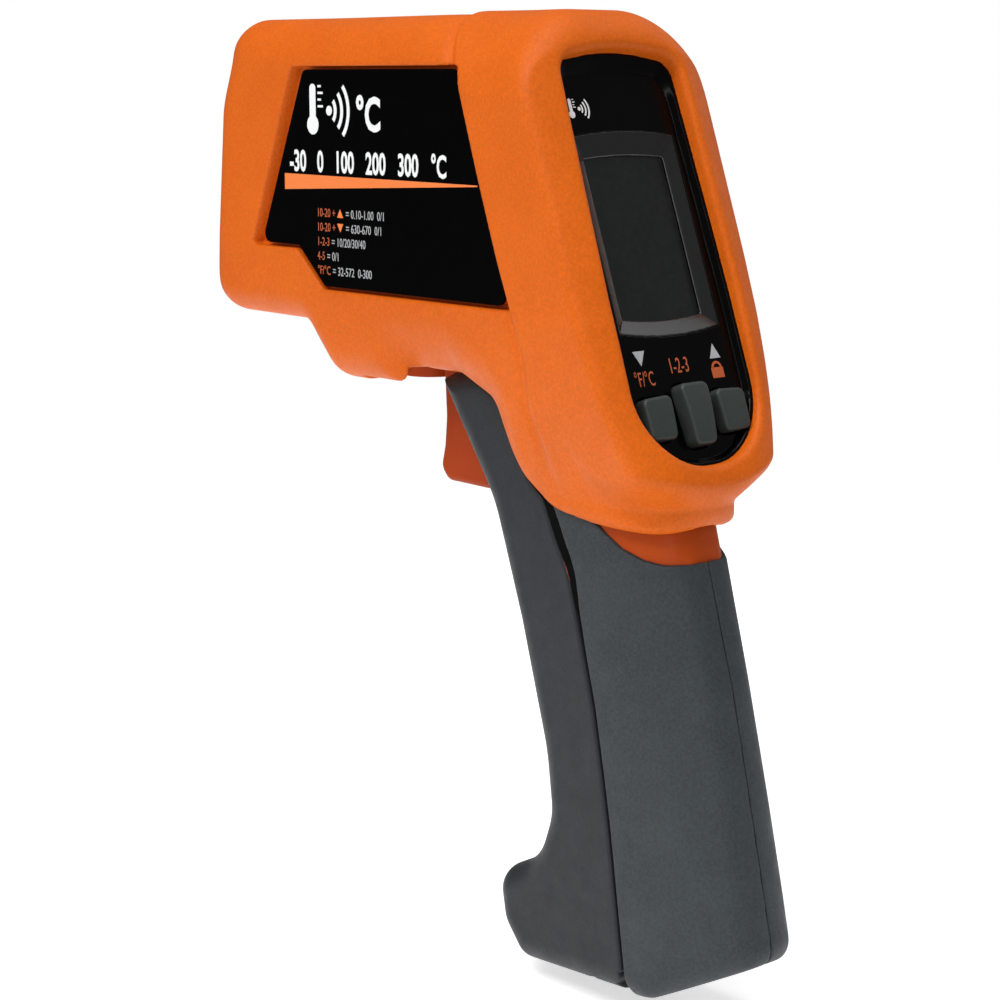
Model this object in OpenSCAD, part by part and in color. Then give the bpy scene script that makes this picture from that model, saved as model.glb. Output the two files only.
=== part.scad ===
// Infrared thermometer with a pistol grip, as an assembly of separate pieces.
// Millimetres. X runs across the gun with +X on the user's left, Y runs back
// towards the display, Z is up. The origin is the mouth of the tripod socket
// under the barrel.

/* [Barrel] */
// Width across the two label sides of the rubber boot
body_w = 52; // [48:0.5:58]
// Thickness of the rubber boot over the housing
boot_t = 4; // [3:0.25:5]
// Wall thickness of the moulded housing halves
wall = 2.2; // [1.6:0.1:3]
// Forward lean of the display face, in degrees
face_tilt = 20.5; // [12:0.5:28]
// Half width of the opening around the display
open_hw = 17.5; // [15:0.5:18.5]
// Height of the infrared axis above the tripod socket
optic_z = 56; // [52:0.5:60]
// Height of the laser axis above the tripod socket
laser_z = 31; // [28:0.5:34]

/* [Grip] */
// Width of the grip
grip_w = 31; // [29:0.5:36]
// Rake of the grip, in degrees
rake = 16; // [10:0.5:20]
// Length of the grip along its own axis
grip_len = 98.5; // [96:0.5:104]
// Thickness of the soft grip skins
skin_t = 2; // [1.5:0.1:2.5]
// Running gap between the battery door and its neighbours
door_gap = 0.35; // [0.3:0.05:0.6]

/* [Controls] */
// Width of the trigger blade
trigger_w = 12; // [10:0.5:13]
// Travel of the three keys
key_travel = 1; // [0.6:0.1:1.2]
// Clearance around the moving keys and trigger
gap = 0.35; // [0.3:0.05:0.6]

/* [Hardware] */
// Radius of the quarter inch tripod thread
tripod_r = 3.175; // [3:0.025:3.5]
// Depth of the tripod thread
tripod_depth = 9; // [7:0.5:11]
// Radius of the trigger and door pins
pin_r = 1.5; // [1.2:0.1:2]
// Radial running clearance of a bore on its pin
pin_fit = 0.06; // [0.03:0.01:0.1]

/* [Smoothness] */
// Steps in each rounded corner of an outline
arc_steps = 4; // [3:1:8]
// Part to draw

/* [Hidden] */
$fn = 64;
big = 300;
side_x = body_w / 2;
shell_x = side_x - boot_t;
top_r = 14;
rear_r = 8;
rim_z = -17.5;
pad_t = 1.7;
label_t = 0.6;
// display face frame: y out of the face, z up along it
face_at = [0, 72, 43];
rim_y = 0.8;
bezel_y = -4.6;
bezel_t = 1.8;
window_t = 1;
glass_y = bezel_y - bezel_t - window_t - 0.2;
board_y = glass_y - 6.3;
board_t = 1.6;
key_z = -44.6;
key_x = 10.3;
key_foot = board_y + 2.4 + key_travel;
// nose frame: y into the gun, z up along the slanted front
nose_at = [0, -51.3, 47.3];
nose_tilt = -5.6;
nose_deep = 4;
nose_plate = 2;
// grip frame: y towards the palm, z up along the grip
grip_at = [0, 70, -20];
grip_hw = grip_w / 2;
wide_t = -11;
tray_hw = 9.1;
tray_wall = 1.8;
// battery block, along y and z of the grip frame
batt_y0 = -26.8;
batt_d = 26.5;
batt_w = 17.5;
batt_z0 = -82.5;
batt_h = 46;
hinge_y = -20.4;
hinge_z = -95.6;
knuckle_r = 2.7;
lug_x0 = 5.4;
lug_x1 = 9.2;
trig_at = [23, 10];
trig_boss = 3.6;
spring_end = 44;
spring_z = -10;
screw_r = 1.3;
head_r = 2.5;
boss_r = 3;
screw_at = [[-4, 70], [38, 69.5], [9, 26], [46, 15]];
grip_screw_at = [[4.6, -60], [4.6, -88]];
case_seat = 8;
grip_seat = 6.4;
face_screw_x = 16.3;
face_screw_z = [24, -25];

// ---- outline helpers ----

function unit(v) = v / norm(v);

function corner(a, b, c, r) =
    let (u = unit(a - b),
        v = unit(c - b),
        half = acos(u * v) / 2,
        o = b + unit(u + v) * r / sin(half),
        p = b + u * r / tan(half) - o,
        q = b + v * r / tan(half) - o,
        a0 = atan2(p[1], p[0]),
        turn = (atan2(q[1], q[0]) - a0 + 540) % 360 - 180)
    [for (i = [0 : arc_steps])
        o + r * [cos(a0 + turn * i / arc_steps), sin(a0 + turn * i / arc_steps)]];

function flat(p) = [p[0], p[1]];

// outline from [a, b, radius] points, each corner rounded by its radius
function rounded(p) = let (n = len(p))
    [for (i = [0 : n - 1])
        each (p[i][2] < 0.1
            ? [flat(p[i])]
            : corner(flat(p[(i + n - 1) % n]), flat(p[i]), flat(p[(i + 1) % n]), p[i][2]))];

module yz(w) {
    rotate([90, 0, 90])
        linear_extrude(w, center = true)
            children();
}

module xz(y0, y1) {
    translate([0, y1, 0])
        rotate([90, 0, 0])
            linear_extrude(y1 - y0)
                children();
}

module box(x, y, z) {
    translate([x[0], y[0], z[0]])
        cube([x[1] - x[0], y[1] - y[0], z[1] - z[0]]);
}

module rod_x(r, x0, x1, y, z) {
    translate([x0, y, z])
        rotate([0, 90, 0])
            cylinder(r = r, h = x1 - x0);
}

module rod_y(r, y0, y1, x, z) {
    translate([x, y1, z])
        rotate([90, 0, 0])
            cylinder(r = r, h = y1 - y0);
}

module in_face() {
    translate(face_at)
        rotate([face_tilt, 0, 0])
            children();
}

module in_nose() {
    translate(nose_at)
        rotate([nose_tilt, 0, 0])
            children();
}

module in_grip() {
    translate(grip_at)
        rotate([rake, 0, 0])
            children();
}

module half(side) {
    intersection() {
        children();
        translate([side * big / 2, 0, 0])
            cube(big, center = true);
    }
}

// ---- barrel volumes ----

function boot_side() = rounded([[-48.2, 80.5, 12], [-54.8, 13.5, 10], [-21, 13, 5],
    [-11.5, 0, 7], [18, 0, 1.5], [18, 4.5, 0], [29, 4.5, 7], [40.5, 1, 8],
    [49, -11.5, 16], [56, -20, 12], [68, -24, 10], [90, -24.3, 2],
    [92.4, -14, 9], [58.3, 80.5, 5]]);

function shell_side(e) = rounded([[-44.46 + e, 76.5 - e, 4], [-50.24 + e, 17.5 + e, 3],
    [-18 + e, 17 + e, 3], [-8.5 + e, 4 + e, 4], [13 - e, 4 + e, 1],
    [13 - e, 8.5 + e, 1], [31, 8.5 + e, 6], [43 + e / 2, 4 + e, 6],
    [54 + e / 2, -13.3 + e, 5], [100, -13.3 + e, 0], [100, 76.5 - e, 0]]);

// barrel block set in by i from the boot's faces
module barrel(i, side, nose_y, rear_y) {
    hw = side_x - i;
    intersection() {
        yz(2 * hw)
            polygon(side);
        xz(-big / 2, big / 2)
            polygon(rounded([[-hw, 80.5 - i, top_r - i], [-hw, 20, 20],
                [-21.5 + i, -6, 20], [-17.5 + i, -20, 0], [-17.5 + i, -40, 0],
                [17.5 - i, -40, 0], [17.5 - i, -20, 0], [21.5 - i, -6, 20],
                [hw, 20, 20], [hw, 80.5 - i, top_r - i]]));
        in_nose()
            linear_extrude(big, center = true)
                polygon(rounded([[-hw, nose_y, max(7 - i, 2)], [hw, nose_y, max(7 - i, 2)],
                    [hw, big, 0], [-hw, big, 0]]));
        in_face()
            linear_extrude(big, center = true)
                polygon(rounded([[-hw, -big, 0], [hw, -big, 0],
                    [hw, rear_y, max(rear_r - 1.5 * i, 1)],
                    [-hw, rear_y, max(rear_r - 1.5 * i, 1)]]));
    }
}

// barrel above, narrowing to a rim around the neck below
module boot_volume() {
    intersection() {
        barrel(0, boot_side(), -0.3, rim_y);
        union() {
            box([-big, big], [-big, big], [rim_z, big]);
            in_grip()
                translate([0, 0, -big / 2])
                    linear_extrude(big)
                        polygon(grip_section(-boot_t));
        }
    }
}

module shell_volume(e) {
    barrel(boot_t + e, shell_side(e), nose_deep + e, bezel_y - e);
}

function window_outline() = rounded([[-18.2, 69.3, 2], [-34.6, 28.9, 2],
    [-18, 28.9, 1], [-8.3, 20.2, 2], [55.6, 20.2, 2], [39.4, 69.3, 2]]);

function label_outline() = rounded([[-15, 68.6, 2], [-31.7, 29.7, 2],
    [-17.4, 29.7, 1], [-7.8, 21, 2], [54.2, 21, 2], [38.4, 68.6, 2]]);

// opening around the display, grown by e
function face_outline(e) = rounded([[-open_hw - e, 31 + e, 6 + e],
    [-open_hw - e, -56 - e, 16 + e], [open_hw + e, -56 - e, 16 + e],
    [open_hw + e, 31 + e, 6 + e]]);

function nose_outline(e) = rounded([[-16 - e, 24 + e, 6], [-16 - e, -24 - e, 6],
    [16 + e, -24 - e, 6], [16 + e, 24 + e, 6]]);

// ---- grip volumes ----

function grip_section(e) = concat(
    [for (i = [0 : 5 * arc_steps])
        let (a = 180 * i / (5 * arc_steps))
        [(grip_hw - e) * cos(a), wide_t + (26.6 - e) * sin(a)]],
    [for (i = [0 : arc_steps])
        let (a = 180 + 90 * i / arc_steps)
        [-grip_hw + 10 + (10 - e) * cos(a), -25 + (10 - e) * sin(a)]],
    [for (i = [0 : arc_steps])
        let (a = 270 + 90 * i / arc_steps)
        [grip_hw - 10 + (10 - e) * cos(a), -25 + (10 - e) * sin(a)]]);

function block_section(front, e) = rounded([[-grip_hw + e, front + e, 10 - e],
    [grip_hw - e, front + e, 10 - e], [grip_hw - e, -20, 0], [-grip_hw + e, -20, 0]]);

function grip_side(e) = rounded([[-43.5 + e, 36, 0], [-33 + e, 6, 30],
    [-31.3 + e, -20, 40], [-31 + e, -48, 40], [-33 + e, -64, 10],
    [-40 + e, -74.5 - e, 14], [-54.5 + e, -77.5 - e, 5], [-56 + e, -89, 8],
    [-52.5 + e, -grip_len + e, 4], [-16.6, -grip_len + e, 0],
    [-16.3, -grip_len - 2.2 + e, 0], [-2, -grip_len - 2.4 + e, 8],
    [12.6 - e, -grip_len + 2 + e, 4], [15.7 - e, -43, 60], [14.6 - e, -14, 20],
    [13 - e, 10, 0], [13 - e, 36, 0]]);

module grip_volume(e) {
    in_grip()
        intersection() {
            yz(big)
                polygon(grip_side(e));
            union() {
                translate([0, 0, -big / 2])
                    linear_extrude(big)
                        polygon(grip_section(e));
                translate([0, 0, -big - 66])
                    linear_extrude(big)
                        polygon(block_section(-56, e));
                translate([0, 0, -4])
                    linear_extrude(big)
                        polygon(block_section(-41, e));
            }
        }
}

// region behind (+1) or ahead (-1) of the side seam of the grip
function seam_line(d) = [[-15 + d, 12], [-10.2 + d, -16], [-10.5 + d, -45],
    [-13.5 + d, -80], [-17.2 + d, -104]];

module behind_seam(d) {
    in_grip()
        yz(big)
            polygon(concat(seam_line(d), [[big, -104], [big, 12]]));
}

module ahead_of_seam(d) {
    in_grip()
        yz(big)
            polygon(concat(seam_line(-d), [[-big, -104], [-big, 60], [-15 - d, 60]]));
}

// upper edge of the grip skins where the collar shows, grip frame
skin_top = [[-15.5, 0], [-4.2, -0.6], [14.8, -14.6], [30, -25]];

module below_collar() {
    in_grip()
        yz(big)
            polygon(concat(skin_top, [[30, -120], [-15.5, -120]]));
}

// ---- rubber boot ----

module boot() {
    color("#e0651d")
        difference() {
            boot_volume();
            shell_volume(0);
            neck_volume();
            yz(big)
                polygon(window_outline());
            in_face()
                xz(bezel_y - 1, 20)
                    polygon(face_outline(0));
            in_nose()
                xz(-20, nose_deep + 1)
                    polygon(nose_outline(0));
            box([-8, 8], [9, 34], [-10, 20]);
            translate([0, 0, -1])
                cylinder(r = 6.8, h = 10);
        }
}

// collar of the housing passing down through the boot into the grip
module neck_volume() {
    intersection() {
        grip_volume(0.3);
        behind_seam(0.15);
        in_grip()
            box([-20, 20], [-40, 30], [-14.8, 12]);
    }
}

// ---- housing halves ----

module core_volume(e) {
    intersection() {
        grip_volume(skin_t + e);
        behind_seam(0.15);
        in_grip()
            box([-20, 20], [-40, 30], [-grip_len, 0]);
        below_collar();
    }
}

module housing_outside() {
    shell_volume(0);
    neck_volume();
    core_volume(0);
    yz(2 * (shell_x + pad_t))
        polygon(label_outline());
}

module housing_inside() {
    shell_volume(wall);
    intersection() {
        grip_volume(skin_t + wall);
        behind_seam(-5);
        in_grip()
            box([-20, 20], [-16, 30], [-grip_len + 4, 14]);
    }
}

module tray() {
    in_grip()
        difference() {
            box([-tray_hw - tray_wall, tray_hw + tray_wall], [-21, tray_wall],
                [batt_z0 - 2.2, batt_z0 + batt_h + 8]);
            box([-tray_hw, tray_hw], [-22, 0],
                [batt_z0 - 0.3, batt_z0 + batt_h + 20]);
        }
}

module tray_webs() {
    in_grip()
        for (x = [-1, 1])
            translate([x * 8, 0, 0])
                box([-1, 1], [tray_wall - 0.1, 20], [-80, -74]);
}

module hinge_lugs() {
    in_grip()
        for (x = [-1, 1])
            translate([x * (lug_x0 + lug_x1) / 2, 0, 0]) {
                rod_x(knuckle_r, -(lug_x1 - lug_x0) / 2, (lug_x1 - lug_x0) / 2,
                    hinge_y, hinge_z);
                box([-(lug_x1 - lug_x0) / 2, (lug_x1 - lug_x0) / 2],
                    [hinge_y, -8], [hinge_z - 1.4, hinge_z + knuckle_r]);
            }
}

module trigger_forks() {
    for (x = [-1, 1])
        translate([x * 9.6, 0, 0]) {
            rod_x(4, -2.2, 2.2, trig_at[0], trig_at[1]);
            box([-2.2, 2.2], [trig_at[0] - 4, trig_at[0] + 4], [trig_at[1], 24]);
        }
    box([-shell_x, shell_x], [trig_at[0] - 4, trig_at[0] + 4], [20, 24]);
}

module switch_shelf() {
    box([-9, 9], [spring_end, 64], [-26, -24]);
    box([-12.6, 12.6], [61.2, 64.5], [-26, -24]);
    box([-9, 9], [spring_end, spring_end + 2], [-26, spring_z + 2.4]);
}

module screw_bosses() {
    for (p = screw_at)
        rod_x(boss_r, -shell_x + 0.5, shell_x - 0.5, p[0], p[1]);
    in_grip()
        for (p = grip_screw_at)
            rod_x(boss_r, -12, 12, p[0], p[1]);
}

module tripod_boss() {
    cylinder(r = 6.8, h = 16);
}

module housing() {
    difference() {
        union() {
            difference() {
                housing_outside();
                housing_inside();
                in_face()
                    xz(bezel_y - 3 * wall, 20)
                        polygon(face_outline(1.6));
                in_nose()
                    xz(-20, nose_deep + 3 * wall)
                        polygon(nose_outline(1));
                box([-8, 8], [9, 34], [-10, 14]);
            }
            intersection() {
                screw_bosses();
                union() {
                    shell_volume(0);
                    core_volume(0);
                }
            }
            intersection() {
                union() {
                    tray();
                    tray_webs();
                    hinge_lugs();
                    switch_shelf();
                }
                grip_volume(skin_t);
            }
            intersection() {
                trigger_forks();
                shell_volume(0);
            }
            tripod_boss();
        }
        translate([0, 0, -1])
            cylinder(r = 4.6, h = tripod_depth + 1);
        rod_x(pin_r, -12, 12, trig_at[0], trig_at[1]);
        in_grip()
            rod_x(pin_r, -12, 12, hinge_y, hinge_z);
        for (p = screw_at)
            screw_space(p, case_seat);
        in_grip()
            for (p = grip_screw_at)
                screw_space(p, grip_seat);
    }
}

// hole for a screw whose head sits at x = seat
module screw_space(p, seat) {
    rod_x(screw_r, -8, seat + 1, p[0], p[1]);
    rod_x(head_r + 0.1, seat, shell_x + 1, p[0], p[1]);
}

module housing_left() {
    color("#c9541f")
        half(1)
            housing();
}

module housing_right() {
    color("#c9541f")
        half(-1)
            housing();
}

module label_plate(side) {
    translate([side * (shell_x + pad_t + label_t / 2), 0, 0])
        yz(label_t)
            polygon(label_outline());
}

module label_left() {
    color("#0c0c0d")
        label_plate(1);
}

module label_right() {
    color("#0c0c0d")
        label_plate(-1);
}

// ---- display side ----

// outline of the frame around the display, w half width, from low to high
function window_frame(w, low, high) =
    rounded([[-w, high, 1.5], [-w, low, 1.5], [w, low, 1.5], [w, high, 1.5]]);

function key_side(e) = rounded([[-3.9 - e, 4.6 + e, 1.4], [-3.3 - e, -4.6 - e, 1.4],
    [3.9 + e, -4.4 - e, 1.4], [4.1 + e, 4.2 + e, 1.4]]);

function key_mid(e) = rounded([[-3.9 - e, 6.4 + e, 1.4], [-2.9 - e, -6.6 - e, 1.4],
    [2.9 + e, -6.6 - e, 1.4], [3.9 + e, 6.4 + e, 1.4]]);

module face_screws(r, y0, y1) {
    for (x = [-1, 1])
        for (z = face_screw_z)
            rod_y(r, y0, y1, x * face_screw_x, z);
}

module display_bezel() {
    color("#101112")
        in_face()
            difference() {
                union() {
                    xz(bezel_y - bezel_t, bezel_y)
                        polygon(face_outline(1.5));
                    face_screws(1.8, board_y, bezel_y - bezel_t);
                }
                xz(bezel_y - bezel_t / 2, bezel_y + 1)
                    polygon(window_frame(12.6, -25.5, 12.6));
                xz(bezel_y - bezel_t - 1, bezel_y + 1)
                    polygon(window_frame(10.9, -23.6, 10.2));
                key_holes();
                face_screws(0.8, board_y - 1, bezel_y - bezel_t - 1);
            }
}

module key_holes() {
    translate([0, 0, key_z])
        xz(bezel_y - bezel_t - 1, bezel_y + 1)
            polygon(key_mid(gap));
    for (x = [-1, 1])
        translate([x * key_x, 0, key_z])
            mirror([x < 0 ? 1 : 0, 0, 0])
                xz(bezel_y - bezel_t - 1, bezel_y + 1)
                    polygon(key_side(gap));
}

module display_window() {
    color("#5b615c")
        in_face()
            xz(bezel_y - bezel_t - window_t, bezel_y - bezel_t)
                polygon(window_frame(13, -26.4, 12.6));
}

module lcd_glass() {
    color("#8d968b")
        in_face()
            box([-13.2, 13.2], [glass_y - 2.4, glass_y], [-27, 14.5]);
}

module lcd_backlight() {
    color("#e8ecea")
        in_face()
            box([-13.2, 13.2], [glass_y - 5.6, glass_y - 2.4], [-24.4, 12]);
}

module lcd_strips() {
    color("#3b3d45")
        in_face()
            for (z = [[-26.8, -24.8], [12.3, 14.3]])
                box([-12.5, 12.5], [board_y, glass_y - 2.4], z);
}

module main_board() {
    color("#1f6b3a")
        in_face()
            difference() {
                xz(board_y - board_t, board_y)
                    polygon(rounded([[-18.2, 28, 2], [-18.2, -27, 6], [-15, -42, 6],
                        [-12.4, -51, 3], [12.4, -51, 3], [15, -42, 6],
                        [18.2, -27, 6], [18.2, 28, 2]]));
                face_screws(0.9, board_y - board_t - 1, board_y + 1);
            }
}

module board_screws() {
    color("#b9bcc0")
        in_face() {
            face_screws(0.8, board_y - board_t, board_y + 3);
            face_screws(1.7, board_y - board_t - 1.2, board_y - board_t);
        }
}

module board_chips() {
    color("#26272a")
        in_face()
            translate([0, board_y - board_t, 0]) {
                box([-6, 6], [-1.6, 0], [-12, 0]);
                box([-12, -6], [-1.4, 0], [8, 12]);
                box([6, 11], [-1.2, 0], [6, 13]);
                box([4, 8], [-2.2, 0], [-24, -19]);
            }
}

module buzzer() {
    color("#1b1c1e")
        in_face()
            difference() {
                rod_y(6, board_y - board_t - 4.5, board_y - board_t, 0, -38);
                rod_y(1, board_y - board_t - 5, board_y - board_t - 3.5, 0, -38);
            }
}

module key_mat() {
    color("#2e3134")
        in_face()
            xz(board_y + 1.1, board_y + 2.1)
                polygon(rounded([[-13, -37, 2], [-13, -51, 5], [13, -51, 5], [13, -37, 2]]));
}

module dome_switches() {
    color("#c6c8cc")
        in_face()
            for (x = [-key_x, 0, key_x])
                rod_y(2.5, board_y, board_y + 1.1, x, key_z);
}

module key_shape(top_y) {
    intersection() {
        xz(key_foot, top_y)
            children(0);
        yz(30)
            polygon(rounded([[key_foot, -9, 0], [top_y - 1.4, -9, 0],
                [top_y, -6.6, 2], [top_y, 6.4, 2], [top_y - 1.4, 9, 0],
                [key_foot, 9, 0]]));
    }
    xz(key_foot, bezel_y - bezel_t - gap)
        children(1);
}

module key_down() {
    color("#3d4143")
        in_face()
            translate([key_x, 0, key_z])
                key_shape(-1.7) {
                    polygon(key_side(0));
                    polygon(key_side(0.7));
                }
}

module key_up() {
    color("#3d4143")
        in_face()
            translate([-key_x, 0, key_z])
                mirror([1, 0, 0])
                    key_shape(-1.7) {
                        polygon(key_side(0));
                        polygon(key_side(0.7));
                    }
}

module key_mode() {
    color("#3d4143")
        in_face()
            translate([0, 0, key_z])
                key_shape(-0.6) {
                    polygon(key_mid(0));
                    polygon(key_mid(0.7));
                }
}

// ---- nose and optics ----

lens_y = -43.4;
tube_end = -9;

module nose_bezel() {
    color("#141516")
        difference() {
            in_nose()
                xz(nose_deep, nose_deep + nose_plate)
                    polygon(nose_outline(0.9));
            rod_y(12, -80, 0, 0, optic_z);
            rod_y(3.6, -80, 0, 0, laser_z);
        }
}

module ir_lens() {
    color("#c9cdd0")
        rod_y(10.6, lens_y, lens_y + 1.2, 0, optic_z);
}

module lens_seal() {
    color("#1a1b1c")
        difference() {
            rod_y(10.6, lens_y - 1.2, lens_y, 0, optic_z);
            rod_y(9.2, lens_y - 2, lens_y + 1, 0, optic_z);
        }
}

module optic_tube() {
    color("#232427")
        difference() {
            rod_y(11.7, lens_y - 2.4, tube_end, 0, optic_z);
            rod_y(10.6, lens_y - 3, lens_y + 1.2, 0, optic_z);
            rod_y(9, lens_y, tube_end - 4, 0, optic_z);
            rod_y(4.2, tube_end - 5, tube_end + 1, 0, optic_z);
        }
}

module thermopile() {
    color("#c2c5c8") {
        rod_y(4.2, tube_end - 3, tube_end, 0, optic_z);
        rod_y(4.6, tube_end, tube_end + 0.8, 0, optic_z);
    }
}

module sensor_board() {
    color("#1f6b3a")
        box([-13, 13], [tube_end + 0.8, tube_end + 2.4], [optic_z - 14, optic_z + 8]);
}

ribbon_y = tube_end + 2.4;

module ribbon_cable() {
    color("#d9d5c8")
        yz(11)
            polygon(concat(
                [for (i = [0 : 8]) [ribbon_y + 58.5 * i / 8, 50 + 6 * sin(22.5 * i)]],
                [for (i = [8 : -1 : 0])
                    [ribbon_y + 58.5 * i / 8, 49.4 + 6 * sin(22.5 * i)]]));
}

module laser_module() {
    color("#b08d3c")
        difference() {
            rod_y(4, -43, -23, 0, laser_z);
            rod_y(1.5, -44, -41, 0, laser_z);
        }
}

module laser_bracket() {
    color("#2a2b2e")
        difference() {
            box([-8, 8], [-39, -28], [laser_z - 11.2, laser_z + 6]);
            rod_y(4, -40, -27, 0, laser_z);
        }
}

module laser_window() {
    color("#8a2f2a")
        rod_y(3.6, -48.4, -47.4, 0, laser_z);
}

// ---- trigger ----

module trigger() {
    color("#a8481d")
        difference() {
            union() {
                yz(trigger_w)
                    polygon(rounded([[16, 10, 3], [11.2, 4, 4], [11.8, -8, 14],
                        [11.2, -14.6, 6], [10, -19.8, 3], [12.6, -22.6, 2.4],
                        [31.5, -22.8, 2], [30, -10, 6], [28, 6, 3], [26, 10, 2]]));
                rod_x(trig_boss, -trigger_w / 2 - 1, trigger_w / 2 + 1, trig_at[0], trig_at[1]);
            }
            rod_x(pin_r + pin_fit, -10, 10, trig_at[0], trig_at[1]);
        }
}

module trigger_pin() {
    color("#b9bcc0")
        rod_x(pin_r, -11.6, 11.6, trig_at[0], trig_at[1]);
}

module trigger_spring() {
    color("#b9bcc0")
        difference() {
            rod_y(2.3, 30.4, spring_end, 0, spring_z);
            rod_y(1.6, 30, spring_end + 1, 0, spring_z);
        }
}

module trigger_switch() {
    color("#1d1e20") {
        box([-3.2, 3.2], [spring_end - 6.3, spring_end], [-24, -12.6]);
        rod_y(1, 35.3, spring_end - 6.3, 0, -20);
    }
}

// ---- grip ----

module grip_skin() {
    difference() {
        intersection() {
            grip_volume(0);
            behind_seam(0.15);
            below_collar();
        }
        intersection() {
            grip_volume(skin_t);
            in_grip()
                box([-20, 20], [-40, 30], [-110, 20]);
        }
        boot_volume();
        neck_volume();
    }
}

module grip_skin_left() {
    color("#474c4f")
        half(1)
            grip_skin();
}

module grip_skin_right() {
    color("#474c4f")
        half(-1)
            grip_skin();
}

module door_top() {
    yz(big)
        polygon(rounded([[5, -150, 0], [5, 0.6, 0], [19, 0.6, 0], [22.5, 4, 2],
            [28.9, 4.1, 7], [40.2, 0.6, 8], [48.6, -11.8, 16], [55.7, -20.4, 12],
            [67.9, -24.4, 10], [110, -38, 0], [110, -150, 0]]));
}

module battery_door() {
    color("#40454a")
        difference() {
            union() {
                difference() {
                    intersection() {
                        grip_volume(0);
                        ahead_of_seam(door_gap);
                        door_top();
                    }
                    intersection() {
                        grip_volume(2.4);
                        in_grip()
                            box([-20, 20], [-80, 10], [-grip_len + 2.4, 60]);
                    }
                    in_grip() {
                        box([-lug_x1 - 0.4, -lug_x0 + 0.4], [hinge_y - 3.4, 0],
                            [-110, hinge_z + 3.4]);
                        box([lug_x0 - 0.4, lug_x1 + 0.4], [hinge_y - 3.4, 0],
                            [-110, hinge_z + 3.4]);
                    }
                    in_grip()
                        difference() {
                            box([-20, 20], [hinge_y, 0], [-110, hinge_z]);
                            rod_x(knuckle_r, -20, 20, hinge_y, hinge_z);
                        }
                }
                in_grip()
                    rod_x(knuckle_r, -lug_x0 + 0.4, lug_x0 - 0.4, hinge_y, hinge_z);
            }
            box([-trigger_w / 2 - gap, trigger_w / 2 + gap], [0, 50], [-26.5, 20]);
            in_grip()
                rod_x(pin_r + pin_fit, -12, 12, hinge_y, hinge_z);
        }
}

module door_pin() {
    color("#b9bcc0")
        in_grip()
            rod_x(pin_r, -lug_x1, lug_x1, hinge_y, hinge_z);
}

module door_pad() {
    color("#2b2c2e")
        in_grip()
            box([-7, 7], [batt_y0 - 1.8, batt_y0 - 0.4], [-46, -32]);
}

// ---- battery and wiring ----

lead_lean = 11.7;
lead_len = 43.8;
batt_top = batt_z0 + batt_h;
stud_y = batt_y0 + batt_d / 2;

module battery() {
    color("#5d6468")
        in_grip() {
            xz_block();
            translate([0, stud_y - 6.4, batt_top])
                cylinder(r = 2.9, h = 2.5);
            translate([0, stud_y + 6.4, batt_top])
                cylinder(r = 4.2, h = 2.5);
        }
}

module xz_block() {
    translate([0, 0, batt_z0])
        linear_extrude(batt_h)
            polygon(rounded([[-batt_w / 2, batt_y0, 2], [batt_w / 2, batt_y0, 2],
                [batt_w / 2, batt_y0 + batt_d, 2], [-batt_w / 2, batt_y0 + batt_d, 2]]));
}

module battery_snap() {
    color("#17181a")
        in_grip()
            box([-6.4, 6.4], [stud_y - 12.4, stud_y + 12.4], [batt_top + 2.5, batt_top + 5]);
}

// battery lead rising through the neck at x
module lead(x) {
    translate([x, 65.5, -53.5])
        rotate([-lead_lean, 0, 0])
            cylinder(r = 0.7, h = lead_len);
}

module lead_red() {
    color("#b3201c")
        lead(2.6);
}

module lead_black() {
    color("#1a1a1c")
        lead(-2.6);
}

// ---- fasteners ----

module screw(p, seat) {
    rod_x(screw_r, -7.6, seat, p[0], p[1]);
    difference() {
        rod_x(head_r, seat, seat + 2, p[0], p[1]);
        rod_x(1, seat + 1, seat + 3, p[0], p[1]);
    }
}

module case_screws() {
    color("#8f9296") {
        for (p = screw_at)
            screw(p, case_seat);
        in_grip()
            for (p = grip_screw_at)
                screw(p, grip_seat);
    }
}

module tripod_insert() {
    color("#b58f3f")
        difference() {
            cylinder(r = 4.6, h = tripod_depth);
            translate([0, 0, -1])
                cylinder(r = tripod_r, h = tripod_depth);
        }
}

boot();
housing_left();
housing_right();
label_left();
label_right();
display_bezel();
display_window();
lcd_glass();
lcd_backlight();
lcd_strips();
main_board();
board_screws();
board_chips();
buzzer();
key_mat();
dome_switches();
key_down();
key_mode();
key_up();
nose_bezel();
ir_lens();
lens_seal();
optic_tube();
thermopile();
sensor_board();
ribbon_cable();
laser_module();
laser_bracket();
laser_window();
trigger();
trigger_pin();
trigger_spring();
trigger_switch();
grip_skin_left();
grip_skin_right();
battery_door();
door_pin();
door_pad();
battery();
battery_snap();
lead_red();
lead_black();
case_screws();
tripod_insert();
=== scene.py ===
import math

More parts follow.
